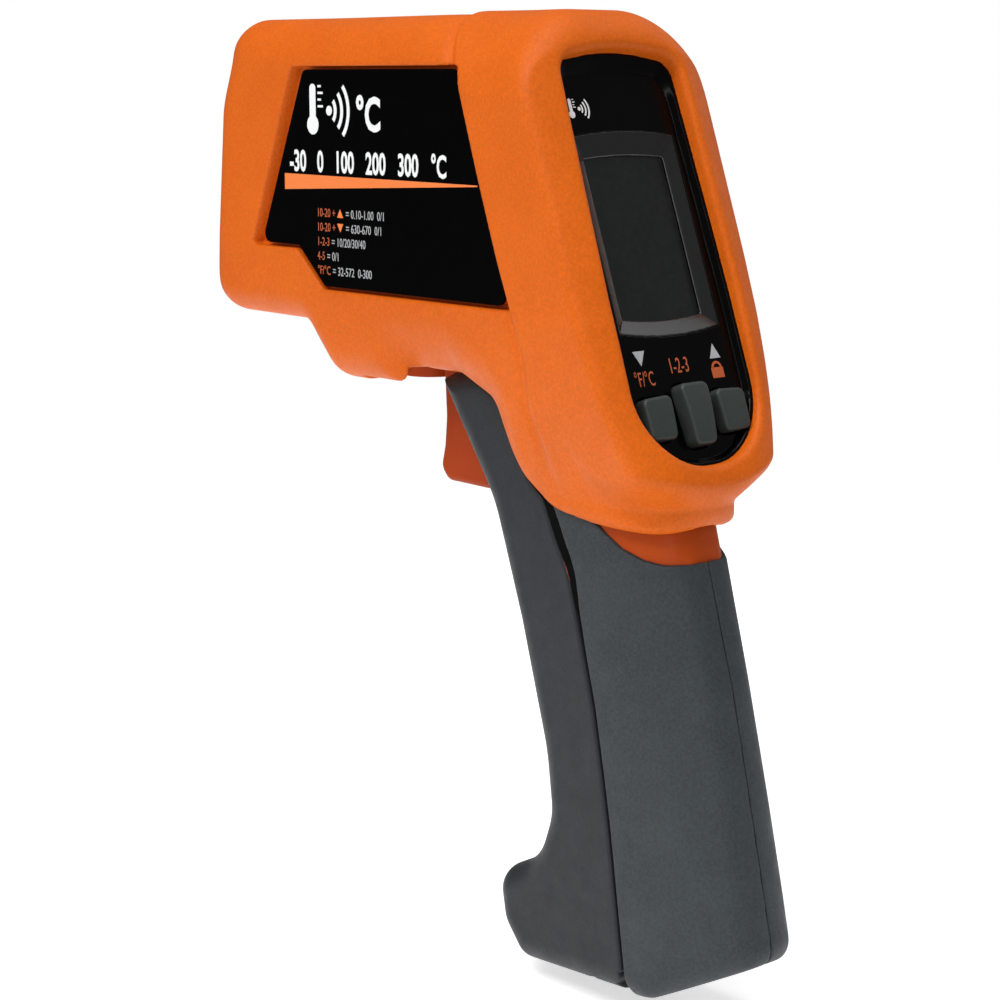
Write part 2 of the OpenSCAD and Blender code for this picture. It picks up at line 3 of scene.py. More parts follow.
import bpy
import numpy as np
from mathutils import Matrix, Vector


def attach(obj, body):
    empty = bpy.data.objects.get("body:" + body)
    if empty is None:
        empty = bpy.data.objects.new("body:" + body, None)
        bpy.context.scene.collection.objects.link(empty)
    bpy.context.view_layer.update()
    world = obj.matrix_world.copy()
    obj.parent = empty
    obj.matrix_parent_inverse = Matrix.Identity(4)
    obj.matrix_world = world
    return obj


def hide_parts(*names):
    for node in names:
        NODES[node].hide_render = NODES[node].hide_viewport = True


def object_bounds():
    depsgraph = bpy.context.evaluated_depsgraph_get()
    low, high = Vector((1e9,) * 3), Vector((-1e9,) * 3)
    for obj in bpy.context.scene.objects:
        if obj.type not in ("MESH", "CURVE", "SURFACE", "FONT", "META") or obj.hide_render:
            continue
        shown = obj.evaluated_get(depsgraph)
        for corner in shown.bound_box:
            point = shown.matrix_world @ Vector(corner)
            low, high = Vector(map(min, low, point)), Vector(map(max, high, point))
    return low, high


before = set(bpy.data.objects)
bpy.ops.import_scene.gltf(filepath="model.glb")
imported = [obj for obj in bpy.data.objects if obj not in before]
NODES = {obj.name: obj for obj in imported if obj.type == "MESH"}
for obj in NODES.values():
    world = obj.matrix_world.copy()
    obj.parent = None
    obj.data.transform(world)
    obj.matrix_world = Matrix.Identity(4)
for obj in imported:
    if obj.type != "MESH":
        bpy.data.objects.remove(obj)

CAD_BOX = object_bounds()

# Shapes are signed distance fields in millimetres, negative inside, in the CAD's frame.
MM = 0.001

# ---------------------------------------------------------------- numbers

# display face, tilted back: local Y points out of the face, local Z up along it
FACE_Y, FACE_Z, FACE_TILT = 72.0, 43.0, math.radians(20.5)
# nose front, local Y into the barrel
NOSE_Y, NOSE_Z, NOSE_TILT = -51.3, 47.3, math.radians(-5.6)
# grip, raked back: local Y (t in the fields) to the rear, local Z up along it
GRIP_Y, GRIP_Z, RAKE = 70.0, -20.0, math.radians(16.0)

GRIP_HW = 15.5      # half width of the grip
GRIP_WIDE = -11.0   # where the grip is widest, along its local Y
GRIP_DEEP = 26.6    # from there to the palm
GRIP_LEN = 98.5
SKIN = 2.0          # thickness of the grip skin
DOOR = 2.4          # thickness of the battery door
BOOT = 3.9          # thickness of the boot
BEZEL_Y = -4.6      # front of the display border, from the face plane
KEY_Z = -44.6       # middle of the keys, from the face origin
KEY_X = 10.3        # outer keys, from the middle
LABEL_X = 24.3      # outside of the labels
CREASE = -22.3      # edge of the display hood, from the face plane
SINK = 1.8          # depth of the window frame below the display border
TRIGGER_PIN = (23.0, 10.0)
SPRING_Z = -10.0
DOOR_PIN = (-20.4, -95.6)   # in the grip's frame


# ---------------------------------------------------------------- fields

def smooth(a, b, v):
    """0 at a, 1 at b, eased between."""
    t = np.clip((v - a) / (b - a), 0.0, 1.0)
    return t * t * (3.0 - 2.0 * t)


def mix(a, b, w):
    return a + (b - a) * w


def both(a, b, r=0.0):
    """Where two fields meet, with a convex round of radius r."""
    if np.isscalar(r) and r <= 0.0:
        return np.maximum(a, b)
    u, v = np.maximum(a + r, 0.0), np.maximum(b + r, 0.0)
    return np.minimum(-r, np.maximum(a, b)) + np.sqrt(u * u + v * v)


def cut(a, b, r=0.0):
    """Field a with field b taken away."""
    return both(a, -b, r)


def corner_arc(a, b, c, r, steps=7):
    """Points of the arc that rounds corner b."""
    a, b, c = (np.array(p[:2], float) for p in (a, b, c))
    u, v = a - b, c - b
    u, v = u / np.linalg.norm(u), v / np.linalg.norm(v)
    half = math.acos(np.clip(u @ v, -1, 1)) / 2
    m = u + v
    o = b + m / np.linalg.norm(m) * r / math.sin(half)
    p, q = b + u * r / math.tan(half) - o, b + v * r / math.tan(half) - o
    a0 = math.atan2(p[1], p[0])
    turn = (math.atan2(q[1], q[0]) - a0 + 3 * math.pi) % (2 * math.pi) - math.pi
    return [tuple(o + r * np.array([math.cos(a0 + turn * i / steps),
                                    math.sin(a0 + turn * i / steps)]))
            for i in range(steps + 1)]


def rounded(pts, steps=7):
    """A closed outline from corners that carry their radius as a third number."""
    out = []
    n = len(pts)
    for i, p in enumerate(pts):
        if len(p) < 3 or p[2] < 0.05:
            out.append((p[0], p[1]))
        else:
            out.extend(corner_arc(pts[i - 1], p, pts[(i + 1) % n], p[2], steps))
    return out


def outline(px, py, pts):
    """Signed distance to a closed outline, negative inside."""
    best, sign = None, 1.0
    n = len(pts)
    for i in range(n):
        (ax, ay), (bx, by) = pts[i], pts[i - 1]
        ex, ey = bx - ax, by - ay
        if ex * ex + ey * ey < 1e-12:
            continue
        wx, wy = px - ax, py - ay
        t = np.clip((wx * ex + wy * ey) / (ex * ex + ey * ey), 0.0, 1.0)
        d = (wx - ex * t) ** 2 + (wy - ey * t) ** 2
        best = d if best is None else np.minimum(best, d)
        c1, c2, c3 = py >= ay, py < by, ex * wy > ey * wx
        flip = (c1 & c2 & c3) | (~c1 & ~c2 & ~c3)
        sign = np.where(flip, -sign, sign)
    return sign * np.sqrt(best)


def sample(grid, lo, step, pts):
    """Trilinear samples of a grid at points."""
    q = (pts - lo) / step
    n = np.array(grid.shape)
    i = np.clip(np.floor(q).astype(int), 0, n - 2)
    f = np.clip(q - i, 0.0, 1.0)
    out = 0.0
    for dx in (0, 1):
        for dy in (0, 1):
            for dz in (0, 1):
                w = (np.where(dx, f[:, 0], 1 - f[:, 0]) * np.where(dy, f[:, 1], 1 - f[:, 1])
                     * np.where(dz, f[:, 2], 1 - f[:, 2]))
                out = out + w * grid[i[:, 0] + dx, i[:, 1] + dy, i[:, 2] + dz]
    return out


def skin(field, lo, hi, step):
    """Quads over the zero surface of a field: points, faces and normals."""
    lo, hi = np.array(lo, float), np.array(hi, float)
    n = np.ceil((hi - lo) / step).astype(int) + 1
    x, y, z = (lo[k] + step * np.arange(n[k]) for k in range(3))
    g = field(x[:, None, None], y[None, :, None], z[None, None, :])
    g = np.ascontiguousarray(np.broadcast_to(g, n)).astype(np.float32)
    g[np.abs(g) < 1e-6] = 1e-6
    inside = g < 0
    cells = n - 1
    ids, px, faces_of = [], [], []
    for axis in range(3):
        a = [slice(None)] * 3
        b = [slice(None)] * 3
        a[axis], b[axis] = slice(0, -1), slice(1, None)
        ga, gb = g[tuple(a)], g[tuple(b)]
        hit = inside[tuple(a)] != inside[tuple(b)]
        u, v = (axis + 1) % 3, (axis + 2) % 3
        edge = np.argwhere(hit)
        ok = ((edge[:, u] > 0) & (edge[:, v] > 0)
              & (edge[:, u] < n[u] - 1) & (edge[:, v] < n[v] - 1))
        edge = edge[ok]
        fa, fb = ga[tuple(edge.T)], gb[tuple(edge.T)]
        p = edge.astype(float)
        p[:, axis] += fa / (fa - fb)
        ring = []
        for du, dv in ((-1, -1), (0, -1), (0, 0), (-1, 0)):
            c = edge.copy()
            c[:, u] += du
            c[:, v] += dv
            ring.append((c[:, 0] * cells[1] + c[:, 1]) * cells[2] + c[:, 2])
        ring = np.stack(ring, 1)
        ring[fa > 0] = ring[fa > 0][:, ::-1]
        faces_of.append(ring)
        ids.append(ring.ravel())
        px.append(np.repeat(p, 4, axis=0))
    ids, px = np.concatenate(ids), np.concatenate(px)
    used, back = np.unique(ids, return_inverse=True)
    back = back.ravel()
    count = np.bincount(back)
    pts = np.stack([np.bincount(back, px[:, k]) / count for k in range(3)], 1)
    pts = lo + step * pts
    faces = np.concatenate(faces_of)
    faces = np.searchsorted(used, faces)
    h = 0.6 * step

    def slope(p):
        return np.stack([(sample(g, lo, step, p + h * np.eye(3)[k])
                          - sample(g, lo, step, p - h * np.eye(3)[k])) / (2 * h)
                         for k in range(3)], 1)

    for _ in range(2):
        d = slope(pts)
        m = np.maximum((d * d).sum(1, keepdims=True), 0.2)
        move = -d * sample(g, lo, step, pts)[:, None] / m
        pts = pts + np.clip(move, -0.4 * step, 0.4 * step)
    d = slope(pts)
    d /= np.maximum(np.linalg.norm(d, axis=1, keepdims=True), 1e-9)
    return pts, faces, d


def turn_x(pts, angle, y0, z0):
    """From a tilted local frame to the object's frame, in millimetres."""
    c, s = math.cos(angle), math.sin(angle)
    out = pts.copy()
    out[:, 1] = y0 + pts[:, 1] * c - pts[:, 2] * s
    out[:, 2] = z0 + pts[:, 1] * s + pts[:, 2] * c
    return out


def face_place(p):
    return turn_x(p, FACE_TILT, FACE_Y, FACE_Z)


def grip_place(p):
    return turn_x(p, RAKE, GRIP_Y, GRIP_Z)


def same_place(p):
    return p


def piece(name, body, material, pts, faces, normals=None):
    """A mesh object, from millimetres, that rides on a body."""
    me = bpy.data.meshes.new(name)
    me.from_pydata((np.asarray(pts) * MM).tolist(), [], [tuple(f) for f in faces])
    me.update()
    me.polygons.foreach_set("use_smooth", [True] * len(me.polygons))
    if normals is not None:
        me.normals_split_custom_set_from_vertices(normals.tolist())
    me.materials.append(material)
    o = bpy.data.objects.new(name, me)
    bpy.context.scene.collection.objects.link(o)
    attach(o, body)
    return o


def moulded_piece(name, body, material, field, lo, hi, step, place=same_place):
    """A piece made from a field sampled between lo and hi."""
    pts, faces, nrm = skin(field, lo, hi, step)
    a = place(pts)
    b = place(pts + nrm) - a
    return piece(name, body, material, a, faces.tolist(), b)


# ---------------------------------------------------------------- materials

def srgb(r, g, b):
    def lin(c):
        c /= 255.0
        return c / 12.92 if c <= 0.04045 else ((c + 0.055) / 1.055) ** 2.4
    return (lin(r), lin(g), lin(b), 1.0)


def shade(c, k):
    return (c[0] * k, c[1] * k, c[2] * k, 1.0)


class Mat:
    """A node material with object coordinates in millimetres."""

    def __init__(self, name):
        self.m = bpy.data.materials.new(name)
        self.m.use_nodes = True
        self.t = self.m.node_tree
        self.t.nodes.clear()
        self.out = self.t.nodes.new("ShaderNodeOutputMaterial")
        self.p = self.t.nodes.new("ShaderNodeBsdfPrincipled")
        self.t.links.new(self.p.outputs[0], self.out.inputs[0])
        co = self.t.nodes.new("ShaderNodeTexCoord")
        mp = self.t.nodes.new("ShaderNodeMapping")
        mp.inputs["Scale"].default_value = (1000, 1000, 1000)
        self.t.links.new(co.outputs["Object"], mp.inputs["Vector"])
        self.co = mp.outputs[0]

    def node(self, kind, **kw):
        n = self.t.nodes.new(kind)
        for k, v in kw.items():
            setattr(n, k, v)
        return n

    def link(self, a, b):
        self.t.links.new(a, b)

    def noise(self, scale, detail=2.0, rough=0.5, stretch=(1, 1, 1)):
        v = self.co
        if stretch != (1, 1, 1):
            mp = self.node("ShaderNodeMapping")
            mp.inputs["Scale"].default_value = stretch
            self.link(self.co, mp.inputs["Vector"])
            v = mp.outputs[0]
        n = self.node("ShaderNodeTexNoise")
        n.inputs["Scale"].default_value = scale
        n.inputs["Detail"].default_value = detail
        n.inputs["Roughness"].default_value = rough
        self.link(v, n.inputs["Vector"])
        return n.outputs["Fac"]

    def ramp(self, fac, stops):
        n = self.node("ShaderNodeValToRGB")
        e = n.color_ramp.elements
        while len(e) < len(stops):
            e.new(0.5)
        for el, (pos, col) in zip(e, stops):
            el.position = pos
            el.color = col if isinstance(col, tuple) else (col, col, col, 1)
        self.link(fac, n.inputs["Fac"])
        return n.outputs["Color"]

    def blend(self, fac, a, b, mode="MIX"):
        n = self.node("ShaderNodeMix", data_type="RGBA", blend_type=mode)
        for sock, v in ((0, fac), (6, a), (7, b)):
            if isinstance(v, (float, int, tuple)):
                n.inputs[sock].default_value = v
            else:
                self.link(v, n.inputs[sock])
        return n.outputs[2]

    def add(self, a, b, mode="ADD"):
        n = self.node("ShaderNodeMath", operation=mode)
        for i, v in enumerate((a, b)):
            if isinstance(v, (float, int)):
                n.inputs[i].default_value = v
            else:
                self.link(v, n.inputs[i])
        return n.outputs[0]

    def bump(self, height, distance, strength=1.0, after=None):
        n = self.node("ShaderNodeBump")
        n.inputs["Strength"].default_value = strength
        n.inputs["Distance"].default_value = distance * MM
        self.link(height, n.inputs["Height"])
        if after is not None:
            self.link(after, n.inputs["Normal"])
        return n.outputs["Normal"]

    def set(self, **kw):
        for k, v in kw.items():
            s = self.p.inputs[k.replace("_", " ")]
            if isinstance(v, (float, int, tuple)):
                s.default_value = v
            else:
                self.link(v, s)
        return self


def moulded(name, colour, rough, mottle=0.06, grain=0.5, depth=0.03, wave=0.0, spec=0.5,
            spread=0.08, tint=None):
    """Moulded plastic or rubber: cloudy colour, fine grain, uneven gloss."""
    m = Mat(name)
    cloud = m.noise(0.06, 4.0, 0.6)
    speck = m.noise(1.6, 2.0, 0.6)
    lo, hi = shade(colour, 1 - mottle), tint or shade(colour, 1 + mottle)
    base = m.ramp(cloud, [(0.3, lo), (0.7, hi)])
    fleck = m.ramp(speck, [(0.35, shade(colour, 1 - mottle)),
                           (0.7, shade(colour, 1 + mottle))])
    m.set(Base_Color=m.blend(0.55, base, fleck))
    r = m.ramp(m.noise(0.25, 5.0, 0.65), [(0.3, max(rough - spread, 0.02)),
                                          (0.7, min(rough + spread, 1.0))])
    m.set(Roughness=r)
    n = m.bump(m.noise(1.0 / grain, 3.0, 0.6), depth)
    if wave:
        n = m.bump(m.noise(0.05, 2.0, 0.5), wave, after=n)
    m.set(Normal=n)
    m.p.inputs["Specular IOR Level"].default_value = spec
    return m.m


def metal(name, colour, rough, brushed=(1, 1, 1)):
    """Bare metal with fine brushing."""
    m = Mat(name)
    n = m.noise(1.4, 4.0, 0.6, stretch=brushed)
    m.set(Base_Color=m.ramp(n, [(0.3, shade(colour, 0.82)), (0.7, shade(colour, 1.0))]))
    m.set(Roughness=m.ramp(n, [(0.3, rough), (0.7, min(rough + 0.2, 1.0))]))
    m.set(Normal=m.bump(n, 0.01))
    m.p.inputs["Metallic"].default_value = 1.0
    return m.m


def printed(name, colour, rough=0.5):
    """Screen-printed ink, slightly uneven at its surface."""
    m = Mat(name)
    n = m.noise(3.0, 3.0, 0.7)
    m.set(Base_Color=m.ramp(n, [(0.25, shade(colour, 0.82)), (0.6, colour)]))
    m.set(Roughness=m.ramp(n, [(0.3, rough - 0.1), (0.7, rough + 0.1)]))
    m.set(Normal=m.bump(n, 0.01))
    m.p.inputs["Specular IOR Level"].default_value = 0.3
    return m.m


ORANGE = (0.665, 0.116, 0.0035, 1)
rubber = moulded("rubber_orange", ORANGE, 0.5, mottle=0.16, grain=0.55, depth=0.08,
                 wave=0.10, spec=0.18, tint=(0.70, 0.132, 0.005, 1))
# near-black, for the strip that paints the shade in the grip seam wedge
wedge_shade_mat = moulded("painted_shade_black", (0.0012, 0.0013, 0.0015, 1), 0.8, mottle=0.2, spec=0.06)
housing_mat = moulded("abs_orange_dark", (0.42, 0.056, 0.003, 1), 0.48, mottle=0.06, grain=0.5,
                      depth=0.012, spec=0.2)
# trigger orange darkened to paint the shade it sits in under the barrel
trigger_shaded_mat = moulded("abs_trigger_painted_shade", (0.33, 0.038, 0.0025, 1), 0.45, mottle=0.07, grain=0.5,
                      depth=0.012, spec=0.12)
grip_mat = moulded("grip_rubber", srgb(46, 52, 56), 0.58, mottle=0.34, grain=0.5, depth=0.13,
                   spec=0.35)
door_mat = moulded("grip_door", srgb(34, 36, 40), 0.5, mottle=0.2, grain=0.5, depth=0.05,
                   spec=0.28)
key_mat = moulded("key_grey", srgb(50, 56, 54), 0.45, mottle=0.1, grain=0.35, depth=0.03,
                  spec=0.3)
label_mat = moulded("label_black", (0.0006, 0.0006, 0.0007, 1), 0.35, mottle=0.3, grain=0.8,
                    depth=0.003, spec=0.02, spread=0.05)
bezel_mat = moulded("bezel_black", (0.0008, 0.0007, 0.0007, 1), 0.2, mottle=0.3, grain=1.0,
                    depth=0.002, spec=0.12, spread=0.03)
frame_mat = moulded("frame_gloss", (0.006, 0.0062, 0.0066, 1), 0.2, mottle=0.2, grain=1.2,
                    depth=0.002, spec=0.75, spread=0.03)
black_abs = moulded("abs_black", srgb(28, 29, 31), 0.42, mottle=0.1, grain=0.5, depth=0.015)
steel = metal("steel", (0.62, 0.63, 0.65, 1), 0.28, brushed=(1, 1, 6))
brass = metal("brass", (0.72, 0.50, 0.20, 1), 0.3, brushed=(1, 1, 8))
solder = metal("tinned", (0.7, 0.71, 0.72, 1), 0.35)
ink_white = printed("ink_white", (0.86, 0.87, 0.87, 1))
ink_grey = printed("ink_grey", (0.42, 0.43, 0.44, 1))
ink_orange = printed("ink_orange", srgb(240, 128, 62))
ink_dim = printed("ink_dim_orange", srgb(186, 92, 52))


def board_material():
    """Circuit board with copper tracks under its lacquer."""
    m = Mat("circuit_board")
    cells = m.node("ShaderNodeTexVoronoi", feature="DISTANCE_TO_EDGE")
    cells.inputs["Scale"].default_value = 0.35
    m.link(m.co, cells.inputs["Vector"])
    tracks = m.ramp(cells.outputs["Distance"], [(0.04, (0.10, 0.30, 0.12, 1)),
                                                (0.07, (0.03, 0.14, 0.06, 1))])
    m.set(Base_Color=m.blend(m.noise(0.5, 4.0), tracks, (0.02, 0.12, 0.05, 1)))
    m.set(Roughness=m.ramp(m.noise(1.0), [(0.3, 0.3), (0.7, 0.45)]))
    m.set(Normal=m.bump(cells.outputs["Distance"], 0.05))
    return m.m


def glass_material(name, colour, rough=0.04, weight=1.0):
    """Slightly uneven tinted window."""
    m = Mat(name)
    m.set(Base_Color=m.ramp(m.noise(0.08, 2.0), [(0.3, shade(colour, 0.93)), (0.7, colour)]))
    m.set(Roughness=m.ramp(m.noise(0.3, 3.0), [(0.3, rough), (0.7, rough + 0.03)]))
    m.set(Normal=m.bump(m.noise(0.03, 1.0), 0.004))
    m.p.inputs["Transmission Weight"].default_value = weight
    m.p.inputs["IOR"].default_value = 1.45
    return m.m


def lcd_material():
    """Dark reflective panel with the faint ghost of its cells."""
    m = Mat("lcd_panel")
    mp = m.node("ShaderNodeMapping")
    mp.inputs["Rotation"].default_value = (-FACE_TILT, 0, 0)
    m.link(m.co, mp.inputs["Vector"])
    wave = m.node("ShaderNodeTexWave", bands_direction="X")
    wave.inputs["Scale"].default_value = 1.2
    m.link(mp.outputs[0], wave.inputs["Vector"])
    base = m.ramp(m.noise(0.05, 3.0), [(0.3, srgb(24, 28, 24)), (0.7, srgb(34, 38, 33))])
    m.set(Base_Color=m.blend(0.06, base, m.ramp(wave.outputs["Fac"], [(0.4, 0.0), (0.6, 0.1)])))
    m.set(Roughness=m.ramp(m.noise(0.4), [(0.3, 0.22), (0.7, 0.32)]))
    m.set(Normal=m.bump(wave.outputs["Fac"], 0.004))
    m.p.inputs["Specular IOR Level"].default_value = 0.1
    return m.m


pcb = board_material()
window_mat = glass_material("smoked_window", (0.62, 0.65, 0.62, 1))
laser_glass = glass_material("laser_glass", (0.75, 0.22, 0.18, 1))
lens_glass = glass_material("ir_lens_glass", (0.72, 0.74, 0.76, 1), rough=0.12, weight=0.4)
lcd_mat = lcd_material()

PAINT = {
    "housing_left": housing_mat, "housing_right": housing_mat,
    "label_left": label_mat, "label_right": label_mat,
    "display_window": window_mat, "lcd_glass": lcd_mat,
    "lcd_backlight": moulded("light_guide", srgb(226, 230, 228), 0.3, mottle=0.03),
    "lcd_strips": moulded("zebra_strip", srgb(70, 60, 66), 0.6, mottle=0.2),
    "main_board": pcb, "sensor_board": pcb,
    "board_screws": steel, "board_chips": moulded("chip_black", srgb(34, 35, 38), 0.5),
    "buzzer": black_abs, "key_mat": moulded("key_mat_rubber", srgb(46, 49, 52), 0.7),
    "dome_switches": solder, "nose_bezel": bezel_mat, "ir_lens": lens_glass,
    "lens_seal": moulded("seal_rubber", srgb(24, 25, 26), 0.75),
    "optic_tube": black_abs, "thermopile": solder,
    "ribbon_cable": moulded("ribbon", srgb(214, 208, 192), 0.5, mottle=0.12),
    "laser_module": brass, "laser_bracket": black_abs, "laser_window": laser_glass,
    "trigger_pin": steel, "trigger_spring": steel,
    "trigger_switch": moulded("switch_black", srgb(30, 31, 33), 0.4),
    "door_pin": steel, "door_pad": moulded("foam", srgb(40, 41, 43), 0.9, mottle=0.2),
    "battery": moulded("battery_can", srgb(92, 100, 104), 0.35, mottle=0.1),
    "battery_snap": moulded("snap_vinyl", srgb(22, 23, 25), 0.5),
    "lead_red": moulded("lead_red", srgb(178, 34, 28), 0.4),
    "lead_black": moulded("lead_black", srgb(24, 24, 26), 0.4),
    "case_screws": steel, "tripod_insert": brass,
}


def shade_smooth_group():
    """Modifier that shades a node smooth below an edge angle."""
    g = bpy.data.node_groups.new("smooth_by_angle", "GeometryNodeTree")
    g.interface.new_socket("Geometry", in_out="INPUT", socket_type="NodeSocketGeometry")
    g.interface.new_socket("Geometry", in_out="OUTPUT", socket_type="NodeSocketGeometry")
    gi, go = g.nodes.new("NodeGroupInput"), g.nodes.new("NodeGroupOutput")
    weld = g.nodes.new("GeometryNodeMergeByDistance")
    weld.inputs["Distance"].default_value = 0.01 * MM
    on = g.nodes.new("GeometryNodeSetShadeSmooth")
    on.domain = "FACE"
    sharp = g.nodes.new("GeometryNodeSetShadeSmooth")
    sharp.domain = "EDGE"
    sharp.inputs["Shade Smooth"].default_value = False
    ang = g.nodes.new("GeometryNodeInputMeshEdgeAngle")
    cmp_ = g.nodes.new("FunctionNodeCompare")
    cmp_.operation = "GREATER_THAN"
    cmp_.inputs[1].default_value = math.radians(32)
    g.links.new(gi.outputs[0], weld.inputs[0])
    g.links.new(weld.outputs[0], on.inputs[0])
    g.links.new(on.outputs[0], sharp.inputs[0])
    g.links.new(ang.outputs[0], cmp_.inputs[0])
    g.links.new(cmp_.outputs[0], sharp.inputs["Selection"])
    g.links.new(sharp.outputs[0], go.inputs[0])
    return g


SMOOTH = shade_smooth_group()
for node, mat in PAINT.items():
    o = NODES[node]
    o.data.materials.clear()
    o.data.materials.append(mat)
    md = o.modifiers.new("smooth", "NODES")
    md.node_group = SMOOTH


# ---------------------------------------------------------------- boot

BOOT_SIDE = rounded([(-46.6, 96.5, 0), (-54.9, 12.6, 9), (-18.5, 12.3, 5), (-9.5, 0, 7),
                     (26, 0, 4), (40, -9, 8), (60, -24.6, 8), (110, -24.6, 0), (110, 96.5, 0)])
BOOT_REAR = rounded([(15, 200, 0), (92.75, -14, 9), (88.6, -26, 0), (84, -60, 0),
                     (-120, -60, 0), (-120, 200, 0)])
BOOT_RIM = rounded([(18, -60, 0), (18, 4.5, 0.5), (31, 4.5, 7), (43, -0.6, 6), (51, -16.2, 8),
                    (57.5, -20.6, 8), (71, -23.2, 12), (90, -24.4, 0), (120, -24.6, 0),
                    (120, -60, 0)])
WINDOW = rounded([(-19.3, 69.3, 1.2), (-35.7, 28.9, 1.6), (-18, 28.9, 1.5), (-8.3, 20.2, 1.5),
                  (55.6, 20.2, 1.2), (39.4, 69.3, 1.2)])
# half width of the boot, by height
HALF_WIDTH = ([-30, -17.5, -10, -4, 2, 9, 18, 30, 84],
              [16.4, 18.3, 20.7, 22.5, 23.9, 25.0, 25.9, 26.3, 26.3])
# how far the boot stands off the grip, by height, and how much more at the rear
SKIRT = ([-30, -24.6, -22.4, -20.4, -18.4, -14, -10, -4, 2, 10, 20, 90],
         [2.6, 3.3, 3.8, 3.7, 3.3, 5.2, 7.6, 11.0, 15, 24, 45, 150])
SKIRT_REAR = ([-30, -21, -18.4, -14, -10, -4, 2, 90], [0, 0, 0.9, 4.4, 8.4, 14.0, 19, 40])


def face_coords(y, z):
    c, s = math.cos(FACE_TILT), math.sin(FACE_TILT)
    return (y - FACE_Y) * c + (z - FACE_Z) * s, -(y - FACE_Y) * s + (z - FACE_Z) * c


def grip_coords(y, z):
    c, s = math.cos(RAKE), math.sin(RAKE)
    return (y - GRIP_Y) * c + (z - GRIP_Z) * s, -(y - GRIP_Y) * s + (z - GRIP_Z) * c


def nose_coords(y, z):
    c, s = math.cos(NOSE_TILT), math.sin(NOSE_TILT)
    return (y - NOSE_Y) * c + (z - NOSE_Z) * s, -(y - NOSE_Y) * s + (z - NOSE_Z) * c


def palm(x, t):
    """Distance to the back half of the grip section, an ellipse."""
    a, b = GRIP_HW, GRIP_DEEP
    v = np.maximum(t - GRIP_WIDE, 0.0)
    q = np.sqrt((x / a) ** 2 + (v / b) ** 2) + 1e-6
    g = np.sqrt((x / a ** 2) ** 2 + (v / b ** 2) ** 2) / q + 1e-6
    return (q - 1.0) / g


def opening(x, u):
    """Distance to the outline of the opening round the display."""
    arch = [(16.6 * k / 8, 32.4 - 2.6 * (k / 8) ** 2) for k in range(4, -5, -1)]
    pts = rounded([(17.0, 30.3, 5.0)] + arch + [(-17.0, 30.3, 5.0)]
                  + [(-17.9, 2, 0), (-18.4, -20, 0), (-18.2, -56, 17.0), (18.2, -56, 17.0),
                     (18.4, -20, 0), (17.9, 2, 0)], 12)
    return outline(x, u, pts)


def opening_3d(x, fu, step=0.35):
    """The opening looked up over a volume from a finer flat table."""
    us = np.arange(-75.0, 60.0, step)
    xs = np.arange(0.0, 40.0, step)
    table = opening(xs[:, None], us[None, :])
    qx = np.clip(np.abs(x) / step, 0, len(xs) - 1.001)
    qu = np.clip((fu - us[0]) / step, 0, len(us) - 1.001)
    ix, iu = np.floor(qx).astype(int), np.floor(qu).astype(int)
    ax, au = qx - ix, qu - iu
    return ((table[ix, iu] * (1 - ax) + table[ix + 1, iu] * ax) * (1 - au)
            + (table[ix, iu + 1] * (1 - ax) + table[ix + 1, iu + 1] * ax) * au)


def curve(v, xs, ys, width=10):
    """A smoothed line through points, evaluated at v."""
    grid = np.linspace(xs[0] - 10, xs[-1] + 10, 401)
    k = np.hanning(2 * width + 1)
    line = np.pad(np.interp(grid, xs, ys), width, mode="edge")
    return np.interp(v, grid, np.convolve(line, k / k.sum(), "valid"))


